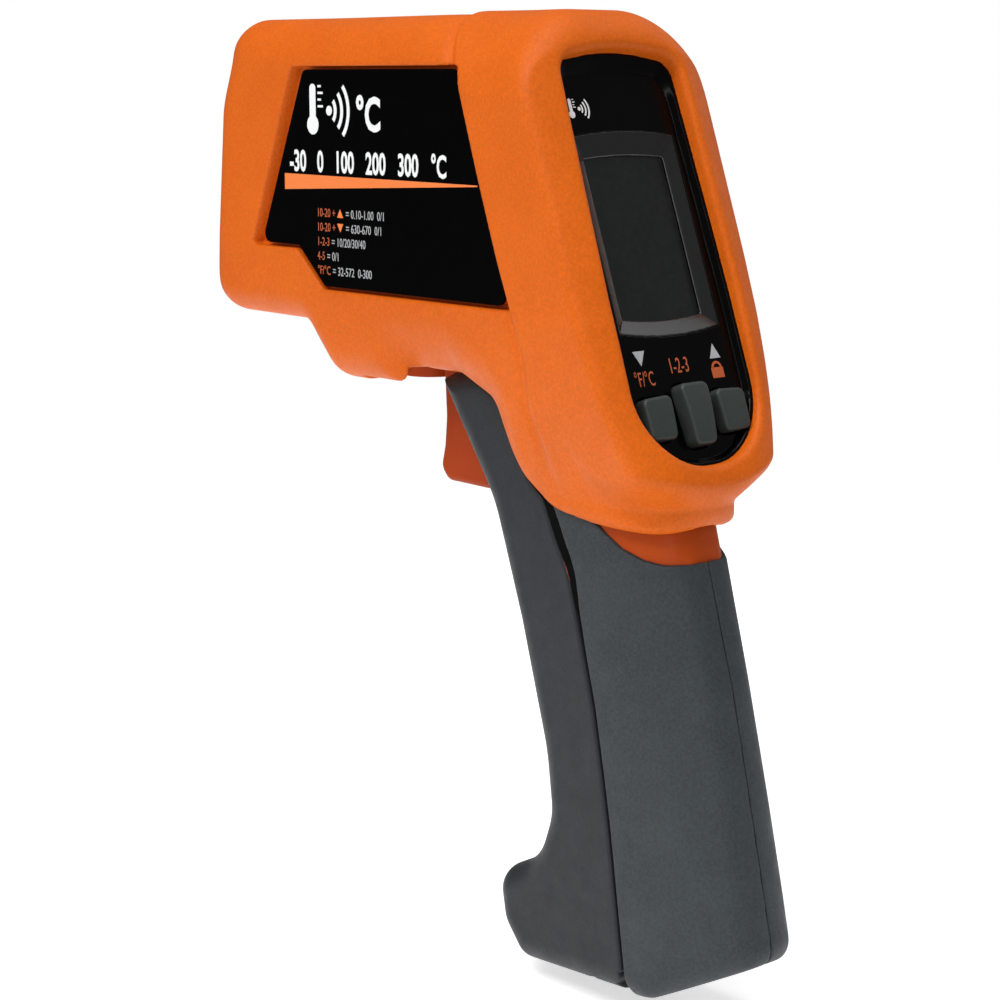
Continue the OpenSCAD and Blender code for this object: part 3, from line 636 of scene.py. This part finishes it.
def boot_field(x, y, z):
    fy, fu = face_coords(y, z)
    gt, gz = grip_coords(y, z)
    ny, nz = nose_coords(y, z)
    ax = np.abs(x)
    # the barrel is a little slimmer than the hood, with a soft step between them
    ahead = (fy - CREASE + 0.10 * np.maximum(z - 69, 0.0) ** 1.35
             + 4.1 * smooth(13, -2, z) + 1.4 * smooth(-2, -16, z))
    front = smooth(0.7, -1.7, ahead)
    step = (1.25 * front + 0.5 * np.exp(-((ahead + 2.0) / 1.3) ** 2)) * smooth(-22, 0, z)
    hw = curve(z, *HALF_WIDTH)
    # barrel and hood
    top = mix(mix(8.0, 13.0, smooth(-46, -8, y)), 20.0, smooth(-36, -12, fy))
    section = both(ax - hw + step, z - 80.6 + 0.5 * step, top)
    rear = outline(y, z, BOOT_REAR)
    bevel = (ax - hw + step + rear + 3.3) * 0.7071
    body = both(both(section, bevel, 1.4), rear, 5.6)
    r = mix(6.5, 7.0, smooth(-28, -42, y))
    r = mix(r, 6.0, smooth(-14, -20, y) * smooth(22, 16, z))
    r = mix(r, 12.0, smooth(-28, -42, y) * smooth(58, 74, z))
    f = both(body, outline(y, z, BOOT_SIDE), r)
    spread = curve(z, *SKIRT, 4) + smooth(2, 14, gt) * curve(z, *SKIRT_REAR, 4)
    # skirt that closes round the top of the grip
    rim = outline(y, z, BOOT_RIM)
    lip = 2.0 + 1.5 * np.maximum(rim, 0.0) ** 0.8
    spread = mix(spread, np.minimum(spread, lip), smooth(-7, -13, gt))
    neck = np.where(gt > GRIP_WIDE, palm(x, gt), ax - GRIP_HW) - spread + 0.7 * step
    f = both(f, neck, 3.0)
    f = cut(f, rim, mix(0.5, 1.5, smooth(24, 40, y)))
    hollow = f + BOOT
    # openings for the display, the labels and the nose
    op = opening_3d(x, fu) + 0.16 * np.clip(0.8 - fy, -2, 6.0)
    f = cut(f, both(op, -fy - 12.0), 1.5)
    ramp = (y - (-19.3 - (69.3 - z) * 0.406)) * 0.926
    win = np.maximum(outline(y, z, WINDOW), 1.0 * (26.0 - ax) / 3.0 - ramp)
    f = cut(f, both(win, 22.0 - ax), 0.35)
    f = cut(f, hollow)
    nose = both(ax - 16.0, np.abs(nz) - 24.0, 6.0)
    f = cut(f, both(nose, ny - 9.0), 1.6)
    # trigger slot, recess under the chin, tripod boss, and room for the grip's collar
    f = cut(f, both(both(ax - 8.0, np.abs(y - 21.5) - 12.5), z - 20.0), 0.8)
    f = cut(f, both(both(ax - 19.0, np.abs(y - 9.5) - 10.0), z - 4.5), 0.8)
    f = cut(f, both(np.sqrt(x * x + y * y) - 6.8, z - 10.0), 0.4)
    inner = both(np.where(gt > GRIP_WIDE, palm(x, gt), ax - GRIP_HW) - 0.35, -15.1 - gt, 1.0)
    f = cut(f, both(inner, gz - 12.0), 0.5)
    return f


boot = moulded_piece("boot_skin", "case", rubber, boot_field,
                     (-27.0, -56.4, -26.2), (27.0, 94.6, 82.0), 0.54)
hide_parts("boot")

# ---------------------------------------------------------------- grip

GRIP_SIDE = rounded([(-43.5, 36, 0), (-33, 6, 30), (-31.3, -20, 40), (-31, -48, 40),
                     (-33, -61.5, 12), (-40, -71.2, 14), (-54.3, -74.0, 6), (-55.4, -85, 8),
                     (-51.2, -94, 5), (-16.6, -101.4, 0.4),
                     (-16.3, -101.8, 0.6), (-11, -101.7, 5), (13.2, -96.8, 5),
                     (17.2, -43, 60), (16.4, -14, 20), (16, 10, 0), (16, 36, 0)])
# seam between skin and door: height and place along local Y
SEAM = ([-104.0, -85.0, -66.0, -54.0, -40.0, -12.0, -5.0, 12.0],
        [-17.4, -14.9, -12.4, -11.2, -10.1, -10.0, -12.0, -15.0])
# width of the wedge beside it; a black strip under it paints the shade in it
WEDGE = ([-42, -30, -20, -13.5, -8, -1.5, 5, 12], [0, 0.1, 0.5, 1.1, 1.7, 1.9, 1.5, 0.9])
# how much slimmer the palm is, by height
SLIM = ([-97, -85, -65, -40, -15], [1.2, 0.7, 0.1, -0.45, -0.6])
# top edge of the grip skin, falling to the rear, and then round below everything
SKIN_TOP = [(-15.5, 12), (-7.5, 8), (-3.6, 3.2), (-0.9, -1.6), (1.5, -5.4), (4.2, -8.8),
            (7.9, -11.9), (11.1, -13.7), (14.8, -14.6), (30, -15.4), (30, -120), (-40, -120),
            (-40, 12)]
BOOT_EDGE = rounded([(5, -150, 0), (5, 0.6, 0), (19, 0.6, 0), (22.5, 4, 2), (30.9, 4.1, 7),
                     (42.8, -1.0, 6), (50.8, -16.6, 8), (57.3, -21.0, 8), (70.8, -23.6, 10),
                     (110, -38, 0), (110, -150, 0)])


def seam_t(z):
    return curve(z, *SEAM, 12)


def grip_field(x, t, z):
    ax = np.abs(x)
    side = outline(t, z, GRIP_SIDE)
    slim = curve(z, *SLIM)
    front = both(side, ax - GRIP_HW, mix(6.2, 3.5, smooth(GRIP_WIDE - 8, GRIP_WIDE, t)))
    back = both(side, palm(x, t) + slim * smooth(-10, 6, t), 3.5)
    return np.where(t > GRIP_WIDE, back, front)


def wedge_width(z):
    return curve(z, *WEDGE, 5)


def skin_field(side):
    """Rubber half of the grip, behind the seam."""
    def field(x, t, z):
        g = grip_field(x, t, z)
        f = both(cut(g, g + SKIN), seam_t(z) - t + 0.1 + wedge_width(z), 0.8)
        f = both(f, outline(t, z, SKIN_TOP), 0.5)
        return both(f, 0.09 - side * x, 0.35)
    return field


def wedge_shade_field(side):
    """Black strip under the wedge between grip skin and door, a painted shade."""
    def field(x, t, z):
        g = grip_field(x, t, z)
        edge = seam_t(z) - t
        f = cut(g + mix(1.5, 0.1, smooth(-21.5, -18.5, z)), g + SKIN)
        f = both(both(f, edge - 0.43), -edge - 0.9 - wedge_width(z))
        return both(both(f, outline(t, z, SKIN_TOP)), 0.3 - side * x)
    return field


for side, name in ((1, "left"), (-1, "right")):
    o = moulded_piece("grip_" + name, "case", grip_mat, skin_field(side),
                      (min(0, side * 16.4) - 0.6, -19, -102.6),
                      (max(0, side * 16.4) + 0.6, 17.4, 5.4), 0.42, grip_place)
    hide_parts("grip_skin_" + name)
    # black strip that paints the shade in the seam wedge
    moulded_piece("seam_painted_shade_" + name, "case", wedge_shade_mat, wedge_shade_field(side),
                  (min(0, side * 16.4) - 0.6, -19, -102.6),
                  (max(0, side * 16.4) + 0.6, -4, 5.4), 0.4, grip_place)


def door_field(x, t, z):
    """Front half of the grip, a shell with cuts for the trigger and the hinge."""
    ax = np.abs(x)
    g = grip_field(x, t, z)
    c, s = math.cos(RAKE), math.sin(RAKE)
    y, up = GRIP_Y + t * c - z * s, GRIP_Z + t * s + z * c
    f = both(g, t - seam_t(z) + 0.45, 0.6)
    f = both(f, outline(y, up, BOOT_EDGE), 0.5)
    f = cut(f, both(g + DOOR, -GRIP_LEN + DOOR - z))
    slot = both(both(ax - 6.45, y - 50.0), -26.6 - up)
    f = cut(f, slot, 0.4)
    lug = both(both(np.abs(ax - 7.3) - 2.35, -23.8 - t), z + 92.2)
    f = cut(f, lug)
    f = cut(f, both(np.abs(t + 29.5) - 1.1, z + 97.2), 0.3)
    rod = np.sqrt((t - DOOR_PIN[0]) ** 2 + (z - DOOR_PIN[1]) ** 2) - 2.7
    f = cut(f, both(both(DOOR_PIN[0] - t, z - DOOR_PIN[1]), -rod))
    return np.minimum(f, both(rod, ax - 4.9, 0.3))


door = moulded_piece("grip_door", "battery_door", door_mat, door_field,
                     (-16.4, -58.0, -101.0), (16.4, -8.0, 40.0), 0.5, grip_place)
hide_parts("battery_door")

TRIGGER = rounded([(16, 10, 3), (11.2, 4, 4), (11.9, -8, 14), (11.3, -14.6, 6), (10, -19.8, 3),
                   (12.6, -22.6, 2.6), (31.5, -22.8, 2), (30, -10, 6), (28, 6, 3), (26, 10, 2)])


def trigger_field(x, y, z):
    ax = np.abs(x)
    blade = both(outline(y, z, TRIGGER), ax - 6.0, 1.3)
    from_pin = np.sqrt((y - TRIGGER_PIN[0]) ** 2 + (z - TRIGGER_PIN[1]) ** 2)
    boss = both(from_pin - 3.6, ax - 7.0, 0.4)
    pin = from_pin - 1.56
    # room for the spring as the trigger turns
    tall = np.maximum(np.abs(z - SPRING_Z + 0.4) - 0.45, 0.0)
    pocket = both(np.sqrt(x * x + tall * tall) - 2.8, 27.0 - y)
    return cut(cut(np.minimum(blade, boss), pin), pocket, 0.2)


# its colour carries painted shade from under the barrel
trigger = moulded_piece("trigger_blade", "trigger", trigger_shaded_mat, trigger_field,
                        (-7.6, 8, -24.5), (7.6, 34, 15), 0.35)
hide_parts("trigger")


def coil(turns, radius, wire, y0, y1, z0, per_turn=24, sides=8):
    """A wound spring along Y, open at its ends."""
    n = turns * per_turn
    pts, faces = [], []
    for i in range(n + 1):
        a = 2 * math.pi * i / per_turn
        y = y0 + wire + (y1 - y0 - 2 * wire) * i / n
        for j in range(sides):
            b = 2 * math.pi * j / sides
            r = radius + wire * math.cos(b)
            pts.append((r * math.cos(a), y + wire * math.sin(b), z0 + r * math.sin(a)))
    for i in range(n):
        for j in range(sides):
            k, m = i * sides, (j + 1) % sides
            faces.append((k + j, k + m, k + sides + m, k + sides + j))
    faces.append(tuple(range(sides))[::-1])
    faces.append(tuple(n * sides + j for j in range(sides)))
    return pts, faces


spring = piece("trigger_coil", "case", steel, *coil(8, 1.95, 0.32, 30.4, 44.0, SPRING_Z))
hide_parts("trigger_spring")

# ---------------------------------------------------------------- display


def bezel_parts(x, v, u):
    """Black display border, and how far a point is into the window frame."""
    ax = np.abs(x)
    o = opening(ax, u)
    depth = -o - 1.3
    wide = mix(0.8, 2.8, smooth(20, 29, u))
    rise = 1.5 * np.clip((wide - depth) / wide, 0.0, 1.0)
    bow = (x / 14.2) ** 2
    into = np.minimum(np.minimum((14.2 - ax) / 3.3, (15.7 - 1.0 * bow - u) / 5.2),
                      (u + 27.8 - 1.3 * bow) / 4.0)
    top = BEZEL_Y + rise - SINK * np.clip(into, 0.0, 1.0)
    f = np.maximum((v - top) * 0.8, -6.4 - v)
    f = np.maximum(f, o - 0.6)
    for kx, shape in ((-KEY_X, KEY_SIDE_L), (0.0, KEY_MID), (KEY_X, KEY_SIDE_R)):
        f = cut(f, outline(x - kx, u - KEY_Z, shape) - 0.35)
    return f, into


def bezel(x, v, u):
    """The border without its window frame."""
    f, into = bezel_parts(x, v, u)
    return np.maximum(f, into * 3.3)


def window_frame(x, v, u):
    """The sloping frame round the display."""
    f, into = bezel_parts(x, v, u)
    return np.maximum(np.maximum(f, -into * 3.3), (into - 0.97) * 3.0)


KEY_SIDE_R = rounded([(-3.9, 4.6, 1.4), (-3.3, -4.6, 1.4), (3.9, -4.4, 1.4), (4.1, 4.2, 1.4)])
KEY_SIDE_L = [(-a, b) for a, b in KEY_SIDE_R][::-1]
KEY_MID = rounded([(-3.9, 6.4, 1.4), (-2.9, -6.6, 1.4), (2.9, -6.6, 1.4), (3.9, 6.4, 1.4)])

frame_piece = moulded_piece("display_frame", "case", bezel_mat, bezel,
                            (-20.2, -7.0, -58.6), (20.2, -2.6, 34.6), 0.3, face_place)
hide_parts("display_bezel")
moulded_piece("window_frame", "case", frame_mat, window_frame,
              (-15.2, -7.0, -28.6), (15.2, -4.0, 16.6), 0.25, face_place)


def key_field(shape, kx, top, crown):
    def field(x, v, u):
        lx, lu = x - kx, u - KEY_Z
        f = both(outline(lx, lu, shape), v - (top - crown * (lu / 6.5) ** 2), 0.75)
        return both(f, -9.5 - v)
    return field


for name, body, shape, kx, top, crown in (
        ("key_down", "key_down", KEY_SIDE_R, KEY_X, -2.2, 0.25),
        ("key_up", "key_up", KEY_SIDE_L, -KEY_X, -2.2, 0.25),
        ("key_mode", "key_mode", KEY_MID, 0.0, -1.3, 0.45)):
    o = moulded_piece(name + "_cap", body, key_mat, key_field(shape, kx, top, crown),
                      (kx - 5.2, -10.2, KEY_Z - 8), (kx + 5.2, 0.4, KEY_Z + 8), 0.28, face_place)
    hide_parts(name)


# ---------------------------------------------------------------- prints

INK = 0.05          # thickness of the printed marks
CAP = 0.70          # height of a capital letter in a font of size 1


def flat_piece(name, body, material, polys, place, lift=INK):
    """Thin raised print made from closed outlines in a plane."""
    pts, faces = [], []
    for poly in polys:
        n = len(poly)
        k = len(pts)
        pts += [(a, b, 0.0) for a, b in poly] + [(a, b, lift) for a, b in poly]
        faces.append(tuple(range(k + n, k + 2 * n)))
        faces.append(tuple(range(k, k + n))[::-1])
        faces += [(k + i, k + (i + 1) % n, k + n + (i + 1) % n, k + n + i) for i in range(n)]
    world = np.array([place(*p) for p in pts])
    o = piece(name, body, material, world, faces)
    o.data.polygons.foreach_set("use_smooth", [False] * len(o.data.polygons))
    return o


def words(name, body, material, text, place, at, height, squeeze=0.8, bold=0.0, lift=INK):
    """Raised characters; gives the piece and where they end."""
    cu = bpy.data.curves.new(name + "_curve", "FONT")
    cu.body = text
    cu.size = 1.0
    cu.offset = bold
    cu.resolution_u = 3
    tmp = bpy.data.objects.new(name + "_tmp", cu)
    bpy.context.scene.collection.objects.link(tmp)
    bpy.context.view_layer.update()
    me = bpy.data.meshes.new_from_object(tmp.evaluated_get(
        bpy.context.evaluated_depsgraph_get()))
    bpy.data.objects.remove(tmp)
    co = np.empty(len(me.vertices) * 3)
    me.vertices.foreach_get("co", co)
    co = co.reshape(-1, 3)
    k = height / CAP
    pts = [(at[0] + c[0] * k * squeeze, at[1] + c[1] * k) for c in co]
    faces = [tuple(p.vertices) for p in me.polygons]
    n = len(pts)
    edges = {}
    for f in faces:
        for i, a in enumerate(f):
            b = f[(i + 1) % len(f)]
            key = (min(a, b), max(a, b))
            edges.setdefault(key, []).append((a, b))
    walls = [(e[0][1], e[0][0], e[0][0] + n, e[0][1] + n) for e in edges.values() if len(e) == 1]
    world = np.array([place(a, b, lift) for a, b in pts] + [place(a, b, 0.0) for a, b in pts])
    bpy.data.meshes.remove(me)
    backs = [tuple(i + n for i in f[::-1]) for f in faces]
    o = piece(name, body, material, world, faces + walls + backs)
    o.data.polygons.foreach_set("use_smooth", [False] * len(o.data.polygons))
    return o, (max(p[0] for p in pts) if pts else at[0])


def on_left(a, b, c):
    return (LABEL_X + c, a, b)


def on_right(a, b, c):
    return (-LABEL_X - c, 20.0 - a, b)


def on_face(a, b, c):
    p = np.array([[-a, BEZEL_Y + c, b]])
    return tuple(face_place(p)[0])


def ring(cx, cy, r0, r1, a0=0.0, a1=360.0, n=32):
    """Short strips that follow an arc."""
    out = []
    for i in range(n):
        p, q = (math.radians(a0 + (a1 - a0) * (i + k) / n) for k in (0, 1))
        out.append([(cx + r0 * math.cos(p), cy + r0 * math.sin(p)),
                    (cx + r1 * math.cos(p), cy + r1 * math.sin(p)),
                    (cx + r1 * math.cos(q), cy + r1 * math.sin(q)),
                    (cx + r0 * math.cos(q), cy + r0 * math.sin(q))])
    return out


def blob(cx, cy, r, n=28):
    return [(cx + r * math.cos(2 * math.pi * i / n), cy + r * math.sin(2 * math.pi * i / n))
            for i in range(n)]


def bar(x0, y0, x1, y1):
    return [(x0, y0), (x1, y0), (x1, y1), (x0, y1)]


def pictogram(cx, cy, k):
    """Generic thermometer with rays, about 16 by 10 units at k = 1."""
    turn = [math.radians(121.8 + (296.4 * i) / 20) for i in range(21)]
    stem = rounded([(cx - 4.2 * k, cy - 1 * k, 0), (cx - 4.2 * k, cy + 5 * k, 0.95 * k),
                    (cx - 6.2 * k, cy + 5 * k, 0.95 * k), (cx - 6.2 * k, cy - 1 * k, 0)])
    out = [[(cx - 5.2 * k + 1.9 * k * math.cos(a), cy - 3.0 * k + 1.9 * k * math.sin(a))
            for a in turn] + stem]
    out += [bar(cx - 3.5 * k, cy + (0.4 + 1.3 * i) * k, cx - (2.4 if i % 2 else 1.8) * k,
                cy + (0.85 + 1.3 * i) * k) for i in range(4)]
    for i in range(3):
        out += ring(cx - 0.6 * k, cy - 0.2 * k, (2.4 + 2.1 * i) * k, (3.3 + 2.1 * i) * k,
                    -42, 42, 12)
    out.append(blob(cx + 0.2 * k, cy - 0.2 * k, 0.95 * k))
    return out


def triangle(cx, cy, w, h, up=True):
    s = 1 if up else -1
    return [(cx - w / 2, cy - s * h / 2), (cx + w / 2, cy - s * h / 2), (cx, cy + s * h / 2)][::s]


def label_prints(tag, place):
    """Generic marks of one label: pictogram, unit, scale, wedge and rows of numerals."""
    flat_piece("icon_" + tag, "case", ink_white, pictogram(-5.6, 59.9, 1.12), place)
    words(f"unit_{tag}", "case", ink_white, "°C", place, (4.2, 55.6), 7.0, squeeze=0.8, bold=0.03)
    flat_piece("wedge_" + tag, "case", ink_orange,
               [[(-22.4, 42.0), (45.0, 44.8), (45.0, 45.1), (-22.4, 45.6)]], place)
    at = -20.4
    for i, word in enumerate(("-30", "0", "100", "200", "300", "°C")):
        _, at = words(f"scale_{tag}_{i}", "case", ink_white, word, place, (at, 46.3), 4.6,
                      squeeze=0.72, bold=0.025)
        at += 4.1
    rows = (("10-20 +", 1, "= 0.10-1.00  0/1"), ("10-20 +", -1, "= 630-670  0/1"),
            ("1-2-3", 0, "= 10/20/30/40"), ("4-5", 0, "= 0/1"),
            ("°F/°C", 0, "= 32-572  0-300"))
    for i, (head, arrow, tail) in enumerate(rows):
        z = 36.4 - 3.2 * i
        _, end = words(f"row_{tag}_{i}a", "case", ink_dim, head, place, (-10.4, z), 1.9,
                       squeeze=0.8)
        end += 0.8
        if arrow:
            flat_piece(f"row_{tag}_{i}b", "case", ink_orange,
                       [triangle(end + 1.0, z + 0.95, 2.2, 1.9, arrow > 0)], place)
            end += 3.0
        words(f"row_{tag}_{i}c", "case", ink_grey, tail, place, (end, z), 1.9, squeeze=0.8)


label_prints("left", on_left)
label_prints("right", on_right)

# legends over the keys; across the face, positive runs to the right as read
flat_piece("arrow_down", "case", ink_grey, [triangle(-10.6, -31.9, 3.3, 3.1, False)], on_face)
flat_piece("arrow_up", "case", ink_grey, [triangle(10.6, -31.9, 3.1, 3.1, True)], on_face)
words("legend_scale", "case", ink_dim, "°F/°C", on_face, (-13.4, -37.6), 3.0, squeeze=0.58)
words("legend_mode", "case", ink_dim, "1-2-3", on_face, (-3.3, -35.6), 3.2, squeeze=0.6)
flat_piece("legend_hold", "case", ink_dim,
           [bar(8.7, -37.6, 12.1, -35.4)] + ring(10.4, -35.5, 0.95, 1.45, 0, 180, 10),
           on_face)
flat_piece("icon_face", "case", ink_white, pictogram(-10.6, 20.6, 0.42), on_face)

# ---------------------------------------------------------------- stage

FLOOR_Z = CAD_BOX[0].z - 0.0002


def floor():
    """Pale disc with a soft fade to the white surround."""
    n, m_, size = 72, 14, 1.6
    pts = [(0, 0, FLOOR_Z)]
    pts += [(size * (j / m_) ** 1.5 * math.cos(2 * math.pi * i / n),
             size * (j / m_) ** 1.5 * math.sin(2 * math.pi * i / n), FLOOR_Z)
            for j in range(1, m_ + 1) for i in range(n)]
    faces = [(0, 1 + i, 1 + (i + 1) % n) for i in range(n)]
    for j in range(m_ - 1):
        a, b = 1 + j * n, 1 + (j + 1) * n
        faces += [(a + i, b + i, b + (i + 1) % n, a + (i + 1) % n) for i in range(n)]
    me = bpy.data.meshes.new("floor")
    me.from_pydata(pts, [], faces)
    m = Mat("floor_pale")
    m.set(Base_Color=m.ramp(m.noise(0.004, 3.0), [(0.3, (0.84, 0.84, 0.84, 1)),
                                                 (0.7, (0.88, 0.88, 0.88, 1))]))
    m.set(Roughness=0.9)
    m.p.inputs["Specular IOR Level"].default_value = 0.1
    far = m.node("ShaderNodeVectorMath", operation="LENGTH")
    m.link(m.co, far.inputs[0])
    away = m.node("ShaderNodeMapRange")
    away.inputs["From Min"].default_value = 150.0
    away.inputs["From Max"].default_value = 700.0
    m.link(far.outputs["Value"], away.inputs["Value"])
    m.set(Emission_Color=(1.0, 1.0, 1.0, 1.0))
    m.set(Emission_Strength=m.ramp(away.outputs[0], [(0.0, 0.60), (1.0, 0.80)]))
    clear = m.node("ShaderNodeBsdfTransparent")
    fade = m.node("ShaderNodeMixShader")
    m.link(m.ramp(away.outputs[0], [(0.4, 0.0), (1.0, 1.0)]), fade.inputs[0])
    m.link(m.p.outputs[0], fade.inputs[1])
    m.link(clear.outputs[0], fade.inputs[2])
    m.link(fade.outputs[0], m.out.inputs[0])
    me.materials.append(m.m)
    o = bpy.data.objects.new("floor", me)
    bpy.context.scene.collection.objects.link(o)


floor()


def lamp(name, loc, aim, size, watts, colour=(1, 1, 1)):
    d = bpy.data.lights.new(name, "AREA")
    d.shape = "RECTANGLE"
    d.size, d.size_y = size
    d.energy = watts
    d.color = colour
    o = bpy.data.objects.new(name, d)
    o.location = loc
    o.rotation_euler = (Vector(aim) - Vector(loc)).to_track_quat("-Z", "Y").to_euler()
    bpy.context.scene.collection.objects.link(o)


lamp("key", (0.85, 0.15, 1.0), (0, 0.03, 0.0), (0.5, 0.5), 10.1)
lamp("top", (0.0, 0.25, 1.3), (0, 0.03, 0.0), (0.8, 0.8), 8.4)
lamp("side", (1.3, -0.7, 0.25), (0, 0.03, 0.0), (0.5, 1.2), 2.6)
lamp("strip", (0.75, 0.95, 0.5), (0, 0.05, 0.0), (0.16, 1.1), 2.4)
lamp("fill", (-1.3, 0.1, 0.8), (0, 0.03, 0.0), (0.9, 1.1), 2.6)

# white behind the object for the camera, a faint even light for the surfaces
world = bpy.data.worlds.new("studio")
bpy.context.scene.world = world
world.use_nodes = True
wt = world.node_tree
wt.nodes.clear()
w_out = wt.nodes.new("ShaderNodeOutputWorld")
w_mix = wt.nodes.new("ShaderNodeMixShader")
w_see = wt.nodes.new("ShaderNodeBackground")
w_lit = wt.nodes.new("ShaderNodeBackground")
w_path = wt.nodes.new("ShaderNodeLightPath")
w_see.inputs["Color"].default_value = (1, 1, 1, 1)
w_see.inputs["Strength"].default_value = 1.0
w_lit.inputs["Color"].default_value = (0.97, 0.98, 1.0, 1)
w_lit.inputs["Strength"].default_value = 0.2
wt.links.new(w_path.outputs["Is Camera Ray"], w_mix.inputs[0])
wt.links.new(w_lit.outputs[0], w_mix.inputs[1])
wt.links.new(w_see.outputs[0], w_mix.inputs[2])
wt.links.new(w_mix.outputs[0], w_out.inputs[0])

cam_data = bpy.data.cameras.new("camera")
cam_data.lens = 81.0
cam_data.sensor_width = 36.0
cam = bpy.data.objects.new("camera", cam_data)
cam.location = (0.32459, 0.39869, 0.06654)
cam.rotation_euler = (math.radians(79.4), 0.0, math.radians(139.1))
bpy.context.scene.collection.objects.link(cam)
bpy.context.scene.camera = cam
bpy.context.scene.view_settings.view_transform = "Standard"
